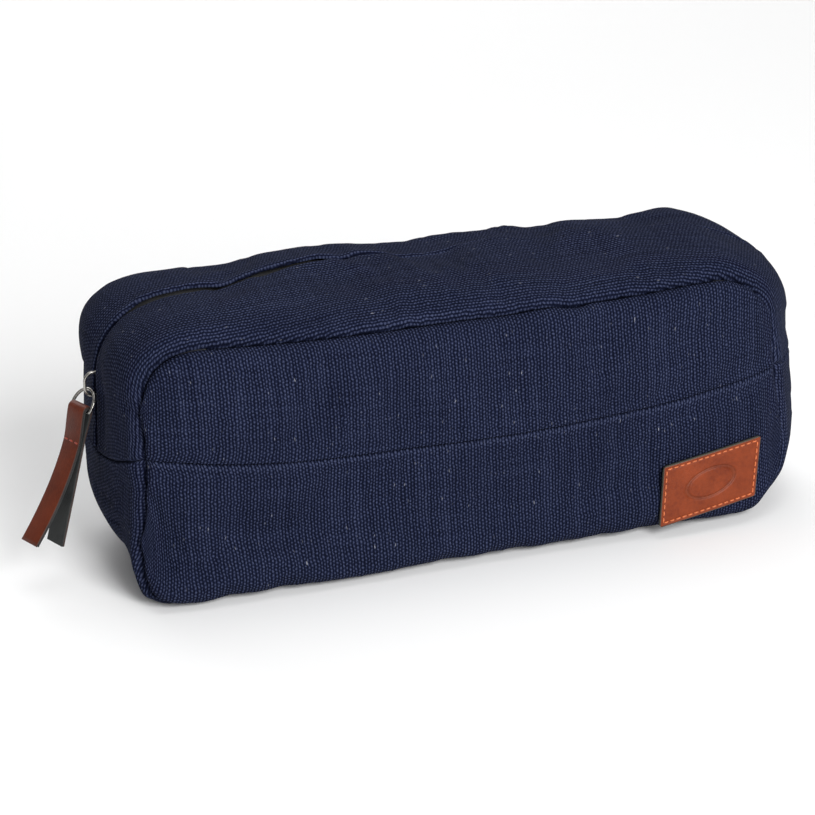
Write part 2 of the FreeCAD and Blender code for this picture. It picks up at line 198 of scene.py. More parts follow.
def warp(p):
    """Lets the perfect pouch slump: the waist sags, the foot spreads, and the far end swells low down."""
    x, y, z = p[..., 0], p[..., 1], p[..., 2]
    u = x / HALF_L
    left = np.clip(-u, 0, 1)
    right = np.clip(u, 0, 1) ** 2
    level = z / HEIGHT
    front = np.clip(-y / HALF_D, 0, 1)
    middle = 1 - np.clip(np.abs(y) / HALF_D, 0, 1) ** 2

    # The waist seam sags between the ends, and drops in the middle of the left end
    at_waist = (np.sin(math.pi / 2 * np.clip(z / WAIST, 0, 1))
                * (1 - 0.75 * smooth((z - WAIST) / (HEIGHT - WAIST))))
    sag = (-5.0 * (1 - u ** 2) + 4.5 * right + 2.0 * left ** 4) * MM * (0.35 + 0.65 * front)
    end_drop = -8.0 * MM * smooth((-x - 0.124) / 0.014) * middle * smooth((0.070 - z) / 0.012)
    z2 = z + at_waist * (sag + end_drop)

    # The top of the front dips, and the right end leans in above and stands out below
    z2 = z2 - 2.0 * MM * (1 - u ** 4) * smooth((level - 0.7) / 0.3) * smooth((front - 0.55) / 0.45)
    x2 = x + right ** 2 * (3.5 - 9.5 * np.clip((level - 0.3) / 0.68, 0, 1.1)) * MM * (0.4 + 0.6 * front)
    x2 = x2 + 9.5 * MM * smooth((x - 0.115) / 0.02) * (1 - (y / HALF_D) ** 2) * smooth(level / 0.25)

    # The left end stands out high up, but less at the zip, and stays behind the ring; it draws in low down
    high_left = smooth((-x - 0.098) / 0.025) * smooth((z - 0.074) / 0.024)
    off_zip = 1 - 0.85 * hump((y, 0, 0.010))
    x2 = x2 - (2.0 + 3.5 * (1 - front)) * MM * high_left * off_zip
    by_ring = hump((y, -0.009, 0.005), (z, 0.071, 0.011))
    x2 = x2 + 1.5 * MM * smooth((-x - 0.11) / 0.02) * by_ring
    low_left = smooth((-x - 0.09) / 0.04) * smooth((0.034 - z) / 0.03)
    x2 = x2 + 7.0 * MM * low_left * (1 - 0.75 * front)

    # The foot of the front spreads, with a dent high on its right
    foot = smooth((0.030 - z) / 0.030)
    y2 = y - (7.0 + 2.5 * left - 1.0 * right) * MM * foot * smooth((front - 0.1) / 0.9)
    y2 = y2 + 1.6 * MM * hump((x, 0.086, 0.016), (z, 0.080, 0.010)) * smooth((front - 0.9) / 0.1)

    # The back's top edge rises and dips along its length, and the front's low left corner is squarer
    top_back = smooth((y + 0.01) / 0.03) * smooth((z - 0.08) / 0.02)
    z2 = z2 + top_back * MM * (2.2 * hump((x, -0.045, 0.035)) - 2.2 * hump((x, 0.088, 0.016))
                               + 2.2 * hump((x, 0.122, 0.012)))
    square = hump((x, -0.124, 0.019), (z, 0.005, 0.019)) * smooth((front - 0.45) / 0.5)
    x2 = x2 - 9.0 * MM * square
    z2 = z2 - 3.5 * MM * square
    return np.stack([x2, y2, z2], -1)


def panel_grid(side, upper):
    """Rows from the waist to the outline, columns from left to right."""
    rows = UPPER_ROWS if upper else LOWER_ROWS
    edge = ARC_Z + COL_RISE if upper else CORNER - COL_RISE
    t = np.linspace(0, 1, rows + 1)[:, None]
    z = WAIST + (edge[None, :] - WAIST) * t
    x = np.broadcast_to(COL_X, z.shape)
    y = side * (HALF_D + panel_crown(x, z, side))
    return warp(np.stack([x, y, z], -1))


def zip_drift(x, z):
    """How far back the zip line lies from the middle of the top."""
    return 16.0 * MM * smooth((x + 0.113) / 0.08) * smooth((0.13 - x) / 0.07) * smooth((z - 0.09) / 0.015)


def band_grid(upper):
    """Rows across the band from the front seam to the back seam, columns from left waist to right waist."""
    rows = UPPER_ROWS if upper else LOWER_ROWS
    edge = ARC_Z if upper else CORNER
    up = np.linspace(WAIST, edge, rows + 1)[:-1]
    flip = 1.0 if upper else -1.0
    stations = [(-HALF_L, z, -1.0, 0.0) for z in up]
    stations += [(-ARC_X - CORNER * math.cos(a), edge + flip * CORNER * math.sin(a), -math.cos(a),
                  flip * math.sin(a)) for a in QUARTER]
    stations += [(x, edge + flip * CORNER, 0.0, flip)
                 for x in np.linspace(-ARC_X, ARC_X, FLAT_COLS + 1)[1:-1]]
    stations += [(ARC_X + CORNER * math.cos(a), edge + flip * CORNER * math.sin(a), math.cos(a),
                  flip * math.sin(a)) for a in QUARTER[::-1]]
    stations += [(HALF_L, z, 1.0, 0.0) for z in up[::-1]]
    s = np.array(stations)
    y = np.linspace(-HALF_D, HALF_D, ACROSS + 1)[:, None]
    x0, z0, nx, nz = (s[None, :, k] for k in range(4))
    power = 2.6 + 1.6 * np.abs(nz)
    swell = np.sqrt(np.clip(1 - np.abs(y / HALF_D) ** power, 0, 1))
    bulge = END_BULGE * (1 if upper else 1 - np.clip(np.abs(nz), 0, 1) ** 1.5)
    x = x0 + nx * (bulge * swell)
    z = z0 + nz * (bulge * swell)
    y = np.broadcast_to(y, x.shape)
    if upper:
        y = y + zip_drift(x0, z0) * (1 - (y / HALF_D) ** 2)
    return warp(np.stack([x, y, z], -1))


# ---- simulation

def seam_index(row_count):
    """The panel's outline vertices, in the order of the band's stations, as (row, column)."""
    left = [(r, 0) for r in range(row_count)]
    edge = [(row_count, c) for c in range(COLS)]
    right = [(r, COLS - 1) for r in range(row_count - 1, -1, -1)]
    return left + edge + right


def weld(grids):
    """One closed shell from the six grids: shared vertices on every seam."""
    points = []
    keys = {}
    ids = {}
    faces = []
    for name, g in grids.items():
        index = np.zeros(g.shape[:2], int)
        for r in range(g.shape[0]):
            for c in range(g.shape[1]):
                key = tuple(np.round(g[r, c] * 20000).astype(int))
                if key not in keys:
                    keys[key] = len(points)
                    points.append(g[r, c])
                index[r, c] = keys[key]
        ids[name] = index
        flip = not outward(g)
        for r in range(g.shape[0] - 1):
            for c in range(g.shape[1] - 1):
                quad = (index[r, c], index[r, c + 1], index[r + 1, c + 1], index[r + 1, c])
                if len(set(quad)) == 4:
                    faces.append(quad[::-1] if flip else quad)
    return np.array(points), faces, ids


def shell_grids():
    grids = {}
    for side, name in ((-1, "front"), (1, "back")):
        grids[f"{name}_upper"] = panel_grid(side, True)
        grids[f"{name}_lower"] = panel_grid(side, False)
    grids["band_upper"] = band_grid(True)
    grids["band_lower"] = band_grid(False)
    for level, rows in (("upper", UPPER_ROWS), ("lower", LOWER_ROWS)):
        order = seam_index(rows)
        for name, row in (("front", 0), ("back", ACROSS)):
            panel = grids[f"{name}_{level}"]
            band = grids[f"band_{level}"]
            for k, (r, c) in enumerate(order):
                panel[r, c] = band[row, k]
    for name in ("front", "back"):
        grids[f"{name}_lower"][0] = grids[f"{name}_upper"][0]
    grids["band_lower"][:, 0] = grids["band_upper"][:, 0]
    grids["band_lower"][:, -1] = grids["band_upper"][:, -1]
    return grids


SIM_FRAMES = 24
KEEP_FORM = 0.85  # share of the broad movement that the form takes back
FORM_ROUNDS = 14  # rounds of averaging that find the broad movement
MOST_MOVE = 3.4 * MM
MOVE_SHARE = 0.48


def spread(field, faces, rounds):
    """A field on the shell's points, averaged over their neighbours a number of times."""
    quads = np.array(faces)
    total = np.zeros(len(field))
    for k in range(4):
        np.add.at(total, quads[:, k], 3.0)
    for _ in range(rounds):
        whole = field[quads].sum(1)
        summed = np.zeros_like(field)
        for k in range(4):
            np.add.at(summed, quads[:, k], whole - field[quads[:, k]])
        field = 0.4 * field + 0.6 * summed / total[:, None]
    return field


def stuff(grids):
    """Blows the shell out a little as cloth, with its seams drawn up, so that it puckers between them."""
    points, faces, ids = weld(grids)
    mesh = bpy.data.meshes.new("shell")
    mesh.from_pydata([tuple(p) for p in points], [], [tuple(int(i) for i in f) for f in faces])
    mesh.update()
    shell = linked("shell", mesh)
    seams = set()
    for name, index in ids.items():
        if name.startswith("band"):
            seams.update(index[0])
            seams.update(index[-1])
    for name in ("front_upper", "back_upper"):
        seams.update(ids[name][0])
    drawn = shell.vertex_groups.new(name="drawn")
    drawn.add([int(i) for i in seams], 1.0, "REPLACE")
    held = shell.vertex_groups.new(name="held")
    low = [i for i, p in enumerate(points) if p[2] < 0.5 * MM and abs(p[1]) < HALF_D * 0.8]
    held.add(low, 1.0, "REPLACE")
    cloth = shell.modifiers.new("cloth", "CLOTH")
    cloth_settings = {
        "quality": 8, "mass": 0.3, "tension_stiffness": 40, "compression_stiffness": 40,
        "shear_stiffness": 15, "bending_stiffness": 1.2, "air_damping": 5, "use_pressure": True,
        "uniform_pressure_force": 2.2, "vertex_group_mass": "held", "pin_stiffness": 1.0,
        "vertex_group_shrink": "drawn", "shrink_min": -0.012, "shrink_max": 0.045}
    for key, value in cloth_settings.items():
        setattr(cloth.settings, key, value)
    cloth.settings.effector_weights.gravity = 0.0
    cloth.point_cache.frame_start = 1
    cloth.point_cache.frame_end = SIM_FRAMES
    scene = bpy.context.scene
    for f in range(1, SIM_FRAMES + 1):
        scene.frame_set(f)
    done = shell.evaluated_get(bpy.context.evaluated_depsgraph_get())
    shift = np.array([v.co for v in done.data.vertices]) - points
    shift = shift - KEEP_FORM * spread(shift, faces, FORM_ROUNDS)
    size = np.linalg.norm(shift, axis=1, keepdims=True)
    shift = MOVE_SHARE * shift * np.minimum(1.0, MOST_MOVE / np.maximum(size, 1e-9))
    # The cloth beside the zip stays where it is at the left end, so that the slider and ring are free
    by_zip = hump((points[:, 1], 0, 0.012)) * smooth((-points[:, 0] - 0.085) / 0.02)
    shift = shift * (1 - 0.92 * by_zip * smooth((points[:, 2] - 0.055) / 0.01))[:, None]
    points = points + shift
    points[:, 2] = np.maximum(points[:, 2], 0.0)
    scene.frame_set(1)
    bpy.data.objects.remove(shell)
    bpy.data.meshes.remove(mesh)
    return {name: points[index] for name, index in ids.items()}


# ---- from grids to cloth pieces

def linked(name, data):
    made = bpy.data.objects.new(name, data)
    bpy.context.collection.objects.link(made)
    return made


def set_uv(mesh, uv):
    layer = mesh.uv_layers.new(name="cloth")
    loops = np.zeros(len(mesh.loops), int)
    mesh.loops.foreach_get("vertex_index", loops)
    layer.data.foreach_set("uv", uv[loops].astype(np.float32).reshape(-1))


def fix_facing(mesh):
    made = bmesh.new()
    made.from_mesh(mesh)
    bmesh.ops.recalc_face_normals(made, faces=made.faces)
    made.to_mesh(mesh)
    made.free()


def as_piece(name, mesh, mend=False):
    """A linked, smooth-shaded object.  mend turns every face outwards first."""
    mesh.polygons.foreach_set("use_smooth", np.ones(len(mesh.polygons), bool))
    mesh.update()
    if mend:
        fix_facing(mesh)
    return linked(name, mesh)


def fine_places(count, cell, step=1.5 * MM):
    """Places along an axis of count cells: close together near both edges, which are rolled in."""
    near = np.array([0, 0.2, 0.5, 0.9, 1.4, 2.0, 2.8]) * MM / cell
    inner = np.linspace(0, count, max(2, int(round(count * cell / step))) + 1)
    reach = near[-1] + 0.1
    return np.array(sorted([v for v in inner if reach < v < count - reach] + list(near) + list(count - near)))


def edge_distance(grid, axis, end):
    d = lengths(grid, axis)
    if end:
        last = np.take(d, [-1], axis=axis)
        return last - d
    return d


def roll_in(grid, n, edges, seed):
    """Turns the cloth in round its seams, and puckers it beside them.  Both cloths of one seam turn in along
    the same direction, so that they meet at its bottom."""
    depth = np.zeros(grid.shape[:2])
    pucker = np.zeros(grid.shape[:2])
    agreed = np.zeros_like(grid)
    nearest = np.zeros(grid.shape[:2])
    for axis, end, radius, inward in edges:
        d = edge_distance(grid, axis, end)
        t = np.clip(1 - d / radius, 0, 1)
        depth = np.maximum(depth, radius * (1 - np.sqrt(np.clip(1 - t * t, 0, 1))))
        agreed += (t * t)[..., None] * (n if inward is None else inward)
        nearest = np.maximum(nearest, t)
        along = lengths(grid, 1 - axis)
        run = np.stack([along, d * 0.25], -1)
        ripple = wave(run, 7 * MM, seed + 3.1 * axis + 7.7 * end) + 0.5 * wave(run, 3.4 * MM, seed + 11)
        pucker += ripple * np.exp(-d / (7 * MM)) * smooth(d / (1.8 * MM)) * 0.6 * MM
        pucker += WELT * (radius / SEAM_ROLL) ** 2 * np.exp(-((d - 1.55 * radius) / (0.75 * radius)) ** 2)
    way = n * (1 - nearest[..., None]) + agreed
    way /= np.maximum(np.linalg.norm(way, axis=-1, keepdims=True), 1e-9)
    return grid - way * depth[..., None] + n * pucker[..., None]


def cloth_mesh(name, grid, uv, thick, flip, inner=None):
    """A closed cloth piece: the outer face from a grid, the inner face under it, and the cut edges."""
    if inner is None:
        inner = grid - normals(grid) * (-1 if flip else 1) * thick
    rows, cols = grid.shape[:2]
    count = rows * cols
    points = np.concatenate([grid.reshape(-1, 3), inner.reshape(-1, 3)])
    index = np.arange(count).reshape(rows, cols)
    a, b, c, d = index[:-1, :-1], index[:-1, 1:], index[1:, 1:], index[1:, :-1]
    top = np.stack([a, b, c, d], -1).reshape(-1, 4)
    low = top[:, ::-1] + count
    ring = np.concatenate([index[0, :], index[1:, -1], index[-1, :-1][::-1], index[1:-1, 0][::-1]])
    nxt = np.roll(ring, -1)
    rim = np.stack([nxt, ring, ring + count, nxt + count], -1)
    faces = np.concatenate([top, low, rim])
    if flip:
        faces = faces[:, ::-1]
    mesh = bpy.data.meshes.new(name)
    mesh.from_pydata(points.tolist(), [], faces.tolist())
    set_uv(mesh, np.concatenate([uv.reshape(-1, 2), uv.reshape(-1, 2)]))
    return as_piece(name, mesh)


# ---- swept pieces

def sweep(name, path, side, section):
    """A solid swept along a path.  The section is a ring of (sideways, outward) offsets."""
    path = np.asarray(path, float)
    tangent = np.gradient(path, axis=0)
    tangent /= np.linalg.norm(tangent, axis=1, keepdims=True)
    side = np.broadcast_to(np.asarray(side, float), path.shape)
    side = side - tangent * (side * tangent).sum(1, keepdims=True)
    side = side / np.linalg.norm(side, axis=1, keepdims=True)
    out = np.cross(tangent, side)
    if section.ndim == 2:
        section = np.broadcast_to(section, (len(path),) + section.shape)
    points = path[:, None] + side[:, None] * section[..., :1] + out[:, None] * section[..., 1:2]
    n, m = points.shape[:2]
    index = np.arange(n * m).reshape(n, m)
    a, b = index[:-1], index[1:]
    quads = np.stack([a, np.roll(a, -1, 1), np.roll(b, -1, 1), b], -1).reshape(-1, 4).tolist()
    faces = quads + [index[0][::-1].tolist(), index[-1].tolist()]
    mesh = bpy.data.meshes.new(name)
    mesh.from_pydata(points.reshape(-1, 3).tolist(), [], faces)
    run = np.concatenate([[0], np.cumsum(np.linalg.norm(np.diff(path, axis=0), axis=1))])
    round_it = np.concatenate([[0], np.cumsum(np.linalg.norm(np.diff(section[0], axis=0), axis=1))])
    uv = np.stack(np.broadcast_arrays(round_it[None, :], run[:, None]), -1).reshape(-1, 2)
    set_uv(mesh, uv)
    return as_piece(name, mesh, True)


def round_section(radius, count):
    a = np.linspace(0, 2 * math.pi, count, endpoint=False)
    return np.stack([radius * np.cos(a), radius * np.sin(a)], -1)


def slab_section(width, thick, corner, per_corner=3):
    """A rounded rectangle."""
    made = []
    for k, (sx, sy) in enumerate(((1, 1), (-1, 1), (-1, -1), (1, -1))):
        centre = (sx * (width / 2 - corner), sy * (thick / 2 - corner))
        for a in np.linspace(k * math.pi / 2, (k + 1) * math.pi / 2, per_corner):
            made.append((centre[0] + corner * math.cos(a), centre[1] + corner * math.sin(a)))
    return np.array(made)


def threads(name, runs, radius):
    """Short sewn thread runs: each dives into the cloth at both ends."""
    points = []
    faces = []
    ring = 6
    shape = ((0.0, 0.35, -0.9), (0.12, 0.8, -0.25), (0.3, 1.0, 0.0), (0.7, 1.0, 0.0), (0.88, 0.8, -0.25),
             (1.0, 0.35, -0.9))
    for start, end, up in runs:
        start, end, up = (np.asarray(v, float) for v in (start, end, up))
        way = end - start
        tangent = way / np.linalg.norm(way)
        side = np.cross(tangent, up)
        side /= np.linalg.norm(side)
        up = np.cross(side, tangent)
        base = len(points)
        for t, wide, drop in shape:
            centre = start + way * t + up * drop * radius
            for k in range(ring):
                a = 2 * math.pi * k / ring
                points.append(centre + (side * math.cos(a) + up * math.sin(a)) * radius * wide)
        for s in range(len(shape) - 1):
            for k in range(ring):
                k2 = (k + 1) % ring
                faces.append((base + s * ring + k, base + s * ring + k2,
                              base + (s + 1) * ring + k2, base + (s + 1) * ring + k))
        faces.append(tuple(base + k for k in range(ring))[::-1])
        faces.append(tuple(base + (len(shape) - 1) * ring + k for k in range(ring)))
    mesh = bpy.data.meshes.new(name)
    mesh.from_pydata([tuple(p) for p in points], [], faces)
    set_uv(mesh, np.array([(p[0], p[2]) for p in points]))
    return as_piece(name, mesh, True)


def mark_edge(piece, values):
    """A share from 0 to 1 at each point, for the painted highlight on the yarns along a fold, or for the cut
    edge of leather.
    """
    attribute = piece.data.attributes.new("edge", "FLOAT", "POINT")
    attribute.data.foreach_set("value", np.asarray(values, np.float32))


# ---- materials

class Finish:
    """A procedural material on one Principled shader."""

    def __init__(self, name, rough, metallic=0.0):
        self.material = bpy.data.materials.new(name)
        self.material.use_nodes = True
        self.nodes = self.material.node_tree.nodes
        self.links = self.material.node_tree.links
        self.shader = self.nodes["Principled BSDF"]
        self.shader.inputs["Roughness"].default_value = rough
        self.shader.inputs["Metallic"].default_value = metallic

    def put(self, value, socket):
        """Links a socket, or sets a number or a colour."""
        if isinstance(value, bpy.types.NodeSocket):
            self.links.new(value, socket)
        else:
            socket.default_value = (*value, 1.0) if isinstance(value, tuple) else value

    def math(self, operation, a, b=0.0, clamp=False):
        node = self.nodes.new("ShaderNodeMath")
        node.operation = operation
        node.use_clamp = clamp
        self.put(a, node.inputs[0])
        self.put(b, node.inputs[1])
        return node.outputs[0]

    def times(self, a, b, clamp=False):
        return self.math("MULTIPLY", a, b, clamp)

    def plus(self, a, b):
        return self.math("ADD", a, b)

    def minus(self, a, b):
        return self.math("SUBTRACT", a, b)

    def uv(self):
        node = self.nodes.new("ShaderNodeUVMap")
        node.uv_map = "cloth"
        parts = self.nodes.new("ShaderNodeSeparateXYZ")
        self.links.new(node.outputs[0], parts.inputs[0])
        return node.outputs[0], parts.outputs[0], parts.outputs[1]

    def place(self, x, y):
        node = self.nodes.new("ShaderNodeCombineXYZ")
        self.put(x, node.inputs[0])
        self.put(y, node.inputs[1])
        return node.outputs[0]

    def edge(self):
        node = self.nodes.new("ShaderNodeAttribute")
        node.attribute_name = "edge"
        return node.outputs["Fac"]

    def object_place(self):
        return self.nodes.new("ShaderNodeTexCoord").outputs["Object"]

    def noise(self, place, scale, detail=2.0, rough=0.5):
        node = self.nodes.new("ShaderNodeTexNoise")
        self.put(place, node.inputs["Vector"])
        node.inputs["Scale"].default_value = scale
        node.inputs["Detail"].default_value = detail
        node.inputs["Roughness"].default_value = rough
        return node.outputs["Fac"]

    def ramp(self, value, stops):
        node = self.nodes.new("ShaderNodeValToRGB")
        elements = node.color_ramp.elements
        while len(elements) < len(stops):
            elements.new(0.5)
        for element, (at, colour) in zip(elements, stops):
            element.position = at
            element.color = (*colour, 1.0)
        self.put(value, node.inputs[0])
        return node.outputs[0]

    def mix(self, share, a, b):
        node = self.nodes.new("ShaderNodeMix")
        node.data_type = "RGBA"
        for value, socket in ((share, 0), (a, 6), (b, 7)):
            self.put(value, node.inputs[socket])
        return node.outputs[2]

    def colour(self, value):
        self.put(value, self.shader.inputs["Base Color"])

    def bump(self, height, distance, strength=1.0):
        node = self.nodes.new("ShaderNodeBump")
        node.inputs["Distance"].default_value = distance
        node.inputs["Strength"].default_value = strength
        self.links.new(height, node.inputs["Height"])
        self.links.new(node.outputs[0], self.shader.inputs["Normal"])


def shade(colour, share):
    return tuple(min(1.0, c * share) for c in colour)


def woven(name, dark, yarn, light, slub, pitch_u, pitch_v, depth):
    """Plain weave with slubs: staggered yarn dots, each yarn a little different, with a painted highlight
    that makes them lighter along folds.
    """
    f = Finish(name, 0.9)
    uv, u, v = f.uv()
    drift = f.times(f.minus(f.noise(uv, 320.0, 2.0), 0.5), pitch_u * 1.1)
    drift2 = f.times(f.minus(f.noise(f.place(v, u), 330.0, 2.0), 0.5), pitch_v * 1.5)
    across = f.times(f.plus(u, drift), math.pi / pitch_u)
    along = f.times(f.plus(v, drift2), math.pi / pitch_v)
    wave_u = f.math("SINE", across)
    column = f.math("POWER", f.math("ABSOLUTE", wave_u), 1.3)
    stagger = f.times(f.math("SIGN", wave_u), f.math("SINE", along))
    height = f.times(column, f.plus(f.times(stagger, 0.29), 0.66))
    warp_yarn = f.noise(f.place(f.times(u, 1 / pitch_u), f.times(v, 22.0)), 1.0, 1.0)
    weft_yarn = f.noise(f.place(f.times(u, 30.0), f.times(v, 1 / pitch_v)), 1.0, 1.0)
    yarns = f.plus(warp_yarn, weft_yarn)
    fuzz = f.noise(uv, 1500.0, 3.0, 0.7)
    tone = f.plus(f.times(f.math("POWER", height, 1.2), 0.95),
                  f.plus(f.times(f.minus(yarns, 1.0), 0.38), f.times(f.minus(fuzz, 0.5), 1.05)))
    # Painted highlight: the edge attribute lightens the yarn dots along folds and seam rolls, where light
    # catches them
    fold_highlight = f.times(f.edge(), f.times(height, 0.5))
    tone = f.plus(f.plus(tone, 0.12), fold_highlight)
    colour = f.ramp(tone, ((0.14, dark), (0.48, yarn), (0.96, light)))
    large = f.noise(uv, 28.0, 3.0)
    colour = f.mix(f.times(f.minus(large, 0.35), 0.5, True), colour, dark)
    fleck = f.noise(f.place(f.times(u, 900.0), f.times(v, 260.0)), 1.0, 1.0)
    colour = f.mix(f.times(f.minus(fleck, 0.745), 9.0, True), colour, slub)
    f.colour(colour)
    f.bump(f.plus(height, f.times(fuzz, 0.35)), depth, 0.9)
    f.shader.inputs["Specular IOR Level"].default_value = 0.06
    return f.material


def leather(name, colour, dark, rough, cut, grain=700.0):
    """Grained leather, with its cut edges in another colour."""
    f = Finish(name, rough)
    at = f.object_place()
    coarse = f.noise(at, 90.0, 4.0, 0.6)
    fine = f.noise(at, grain, 3.0, 0.6)
    cells = f.nodes.new("ShaderNodeTexVoronoi")
    cells.feature = "DISTANCE_TO_EDGE"
    cells.inputs["Scale"].default_value = grain * 1.4
    f.put(at, cells.inputs["Vector"])
    tone = f.plus(f.times(coarse, 0.65), f.times(fine, 0.35))
    mixed = f.ramp(tone, ((0.3, dark), (0.5, colour), (0.75, shade(colour, 1.35))))
    f.colour(f.mix(f.edge(), mixed, cut))
    f.put(f.plus(f.times(coarse, 0.35), rough - 0.17), f.shader.inputs["Roughness"])
    f.bump(f.plus(f.times(fine, 0.6), cells.outputs["Distance"]), 0.00012, 0.8)
    f.shader.inputs["Specular IOR Level"].default_value = 0.22
    return f.material


def plain_cloth(name, colour, rough, pitch, depth):
    """A fine, close cloth such as a lining or a tape."""
    f = Finish(name, rough)
    uv, u, v = f.uv()
    rows = f.times(f.math("SINE", f.times(u, 2 * math.pi / pitch)),
                   f.math("SINE", f.times(v, 2 * math.pi / pitch)))
    cloudy = f.noise(uv, 120.0, 3.0)
    f.colour(f.ramp(cloudy, ((0.25, shade(colour, 0.7)), (0.75, shade(colour, 1.25)))))
    f.bump(f.plus(f.times(rows, 0.5), cloudy), depth, 0.8)
    f.shader.inputs["Sheen Weight"].default_value = 0.1
    return f.material


def metal(name, colour, rough):
    f = Finish(name, rough, 1.0)
    at = f.object_place()
    smear = f.noise(at, 240.0, 4.0, 0.65)
    f.colour(f.ramp(smear, ((0.3, shade(colour, 0.78)), (0.7, colour))))
    f.put(f.plus(f.times(smear, 0.25), rough - 0.1), f.shader.inputs["Roughness"])
    f.bump(f.noise(at, 900.0, 2.0), 0.00002, 0.5)
    return f.material


def thread_finish(name, colour, rough=0.55):
    f = Finish(name, rough)
    at = f.object_place()
    twist = f.noise(at, 1600.0, 2.0)
    f.colour(f.ramp(twist, ((0.3, shade(colour, 0.6)), (0.6, colour))))
    f.bump(twist, 0.0001, 0.8)
    f.shader.inputs["Sheen Weight"].default_value = 0.15
    return f.material


CUT_GREY = (0.034, 0.034, 0.032)
CANVAS_FINISH = woven("canvas", (0.0022, 0.0032, 0.0105), (0.0085, 0.0120, 0.0330), (0.046, 0.056, 0.106),
                      (0.30, 0.31, 0.36), WARP_PITCH, WEFT_PITCH, 0.00045)
LINING_FINISH = plain_cloth("lining", (0.10, 0.10, 0.105), 0.7, 0.0005, 0.00006)
BINDING_FINISH = plain_cloth("binding", (0.0035, 0.004, 0.007), 0.9, 0.0012, 0.00015)
TAPE_FINISH = plain_cloth("zip_tape", (0.0030, 0.0032, 0.0050), 0.85, 0.0009, 0.00012)
COIL_FINISH = thread_finish("zip_coil", (0.0065, 0.007, 0.010), 0.42)
NICKEL_FINISH = metal("nickel", (0.42, 0.405, 0.38), 0.24)
LABEL_FINISH = leather("label_leather", (0.172, 0.028, 0.0052), (0.110, 0.015, 0.0034), 0.42,
                       (0.050, 0.047, 0.036))
STRAP_FINISH = leather("strap_leather", (0.108, 0.020, 0.0072), (0.066, 0.0118, 0.0046), 0.42, CUT_GREY)
BACKING_FINISH = leather("strap_backing", (0.034, 0.036, 0.036), (0.012, 0.013, 0.014), 0.8, CUT_GREY, 1500.0)
THREAD_FINISH = thread_finish("thread", (0.60, 0.140, 0.034))


# ---- building the cloth pieces

def follow(piece, body, node):
    """Rides the base, or, above the waist seam, stays where it is with its transform baked in."""
    if body == "base":
        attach(piece, "base")
    else:
        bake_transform(piece)
    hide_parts(node)


def dress(piece, finish):
    piece.data.materials.append(finish)
    return piece


def fine_cols(grid):
    """Places along a grid's columns, four to a cell."""
    count = grid.shape[1] - 1
    return np.linspace(0, count, count * 4 + 1)


def cloth_piece(node, grid, uv, rolls, seed, body):
    """Canvas for a CAD node.  rolls: (axis, at the end of that axis, roll radius, share of the painted
    highlight along the edge's fold, direction out at the seam)."""
    flip = not outward(grid)
    # Painted highlight: a band of lighter yarns just inside each rolled edge, where light catches the fold
    fold_highlight_share = np.zeros(grid.shape[:2])
    for axis, end, radius, fold_highlight, out in rolls:
        d = edge_distance(grid, axis, end)
        fold_highlight_share = np.maximum(fold_highlight_share, fold_highlight * np.exp(-((d - radius * 0.8) / (0.8 * MM)) ** 2))
    edges = [(axis, end, radius, out) for axis, end, radius, fold_highlight, out in rolls]
    shaped = roll_in(grid, normals(grid) * (-1 if flip else 1), edges, seed)
    shaped[..., 2] = np.maximum(shaped[..., 2], 0.0)
    piece = cloth_mesh(f"{node}_cloth", shaped, uv, CANVAS, flip)
    mark_edge(piece, np.concatenate([fold_highlight_share.reshape(-1), fold_highlight_share.reshape(-1)]))
    follow(dress(piece, CANVAS_FINISH), body, node)


def line_inside(node, outer, uv, rows, cols, body):
    """A lining under a piece of canvas, short of its seams by a number of fine rows and columns."""
    inner = outer - normals(outer) * (1 if outward(outer) else -1) * LINING_DEPTH
    keep = (slice(rows, -rows), slice(cols, -cols))
    lining = cloth_mesh(f"{node}_cloth", inner[keep], uv[keep], LINING_THICK, not outward(outer))
    follow(dress(lining, LINING_FINISH), body, node)


def cloth_uv(grid, rows_first):
    """Pattern places in metres of cloth, from the middle column and the first or the middle row."""
    middle = grid.shape[1] // 2
    along = lengths(grid, 1)
    along = along - along[:, middle][:, None]
    across = lengths(grid, 0)
    if rows_first:
        down = grid[1, middle, 2] < grid[0, middle, 2]
        return np.stack([along, across * (-1 if down else 1)], -1)
    return np.stack([across - across[grid.shape[0] // 2][None, :], along], -1)


def fine(grid, rows, cols):
    return sample(sample(grid, 0, rows), 1, cols)


def seam_ways(upper, station):
    """The way out of the outline, as (x, 0, z), at each panel column or at each station of a band."""
    flip = 1.0 if upper else -1.0
    left = [(-math.cos(a), 0.0, flip * math.sin(a)) for a in QUARTER]
    flat = [(0.0, 0.0, flip)] * (FLAT_COLS - 1)
    right = [(math.cos(a), 0.0, flip * math.sin(a)) for a in QUARTER[::-1]]
    rows = (UPPER_ROWS if upper else LOWER_ROWS) if station else 0
    return np.array([(-1.0, 0.0, 0.0)] * rows + left + flat + right + [(1.0, 0.0, 0.0)] * rows)


grids = shell_grids()
grids = stuff(grids)

SIDES = (("front", "front_mouth", 0, -1), ("back", "back_mouth", ACROSS, 1))
LEFT = np.array([-1.0, 0.0, 0.0])

